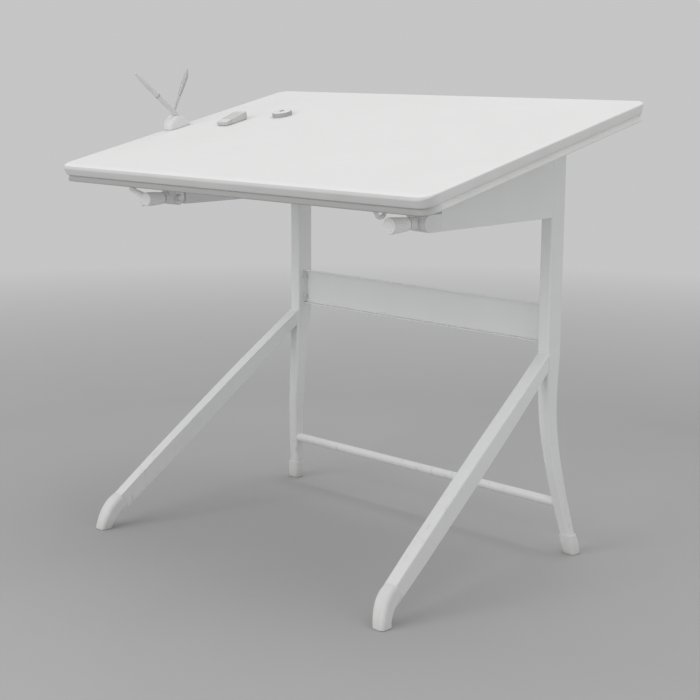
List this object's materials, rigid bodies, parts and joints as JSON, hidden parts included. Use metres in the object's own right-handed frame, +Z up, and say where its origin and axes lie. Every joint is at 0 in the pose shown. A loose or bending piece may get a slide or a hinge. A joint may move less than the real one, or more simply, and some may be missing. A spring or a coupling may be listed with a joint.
{
  "type": "drafting table",
  "caption": "Drafting table with a wide tilting board on a splayed tubular frame, clamp knob and lever, foot rod, lamp socket and pen stand.",
  "frame": {"origin": "on the floor, under the middle of the table's footprint", "axes": "+X to the user's right, -Y towards the user, +Z up"},
  "size_m": [1.2, 0.7689, 1.1456],
  "materials": {
    "board_laminate": "pale matt laminate over a wood core, fine even grain",
    "underframe_wood": "pale painted solid wood, satin",
    "frame_paint": "light grey powder coat, satin",
    "cast_paint": "cast metal under light grey enamel",
    "bright_steel": "plain zinc-plated steel",
    "shoe_brass": "plain machined brass",
    "boot_rubber": "light grey moulded rubber, matt",
    "strip_rubber": "dark grey extruded rubber",
    "grip_plastic": "light grey moulded plastic, fine texture",
    "socket_metal": "light grey enamelled turned metal",
    "nut_steel": "zinc-plated steel",
    "hook_paint": "light grey powder coat on bent rod",
    "stand_plastic": "pale moulded plastic, matt",
    "pad_foam": "thin pale adhesive foam pad",
    "pen_plastic": "pale moulded plastic, satin",
    "brush_handle": "pale lacquered handle with bristle head",
    "eraser_vinyl": "white vinyl, matt",
    "sleeve_card": "pale coated card"
  },
  "bodies": {
    "base": {"right_post": "frame_paint", "left_post": "frame_paint", "right_arm": "frame_paint", "left_arm": "frame_paint", "right_rest_strip": "strip_rubber", "left_rest_strip": "strip_rubber", "right_pivot_lug": "cast_paint", "left_pivot_lug": "cast_paint", "right_pivot_pin": "bright_steel", "left_pivot_pin": "bright_steel", "right_pivot_washers": "bright_steel", "left_pivot_washers": "bright_steel", "right_pin_clip": "bright_steel", "left_pin_clip": "bright_steel", "right_front_leg": "frame_paint", "left_front_leg": "frame_paint", "right_rear_leg": "frame_paint", "left_rear_leg": "frame_paint", "right_front_boot": "boot_rubber", "left_front_boot": "boot_rubber", "right_rear_boot": "boot_rubber", "left_rear_boot": "boot_rubber", "cross_rail": "frame_paint", "rail_bolts": "bright_steel", "foot_rod": "frame_paint"},
    "board": {"drawing_board": "board_laminate", "front_rail": "underframe_wood", "rear_rail": "underframe_wood", "right_rail": "underframe_wood", "left_rail": "underframe_wood", "right_bracket_batten": "underframe_wood", "left_bracket_batten": "underframe_wood", "right_hinge_knuckle": "cast_paint", "left_hinge_knuckle": "cast_paint", "right_friction_shoe": "shoe_brass", "left_friction_shoe": "shoe_brass", "centre_batten": "underframe_wood", "underframe_screws": "bright_steel", "knuckle_screws": "bright_steel", "lamp_socket": "socket_metal", "socket_washer": "nut_steel", "socket_nut": "nut_steel", "tool_hook": "hook_paint", "hook_screws": "bright_steel", "pen_stand": "stand_plastic", "stand_pad": "pad_foam"},
    "right_knob": {"right_clamp_knob": "grip_plastic", "right_clamp_screw": "bright_steel"},
    "left_lever": {"left_clamp_lever": "grip_plastic", "left_clamp_screw": "bright_steel"},
    "pen": {"drawing_pen": "pen_plastic"},
    "brush": {"paint_brush": "brush_handle"},
    "eraser": {"eraser_block": "eraser_vinyl", "eraser_sleeve": "sleeve_card"}
  },
  "joints": [
    {"name": "board_tilt", "type": "hinge", "parent": "base", "child": "board", "pos_m": [0, -0.1764, 0.833], "axis": [1, 0, 0], "range_deg": [0, 60]},
    {"name": "knob_turn", "type": "hinge", "parent": "board", "child": "right_knob", "pos_m": [0.40378, -0.1764, 0.833], "axis": [0, -1, 0], "range_deg": [0, 300]},
    {"name": "lever_turn", "type": "hinge", "parent": "board", "child": "left_lever", "pos_m": [-0.40378, -0.1764, 0.833], "axis": [0, -1, 0], "range_deg": [0, 95]},
    {"name": "pen_lift", "type": "slide", "parent": "board", "child": "pen", "axis": [0, -0.7782, 0.628], "range_m": [0, 0.1]},
    {"name": "brush_lift", "type": "slide", "parent": "board", "child": "brush", "axis": [0, 0.421, 0.907], "range_m": [0, 0.1]},
    {"name": "eraser_lift", "type": "slide", "parent": "board", "child": "eraser", "axis": [0, -0.2181, 0.9759], "range_m": [0, 0.08]}
  ]
}
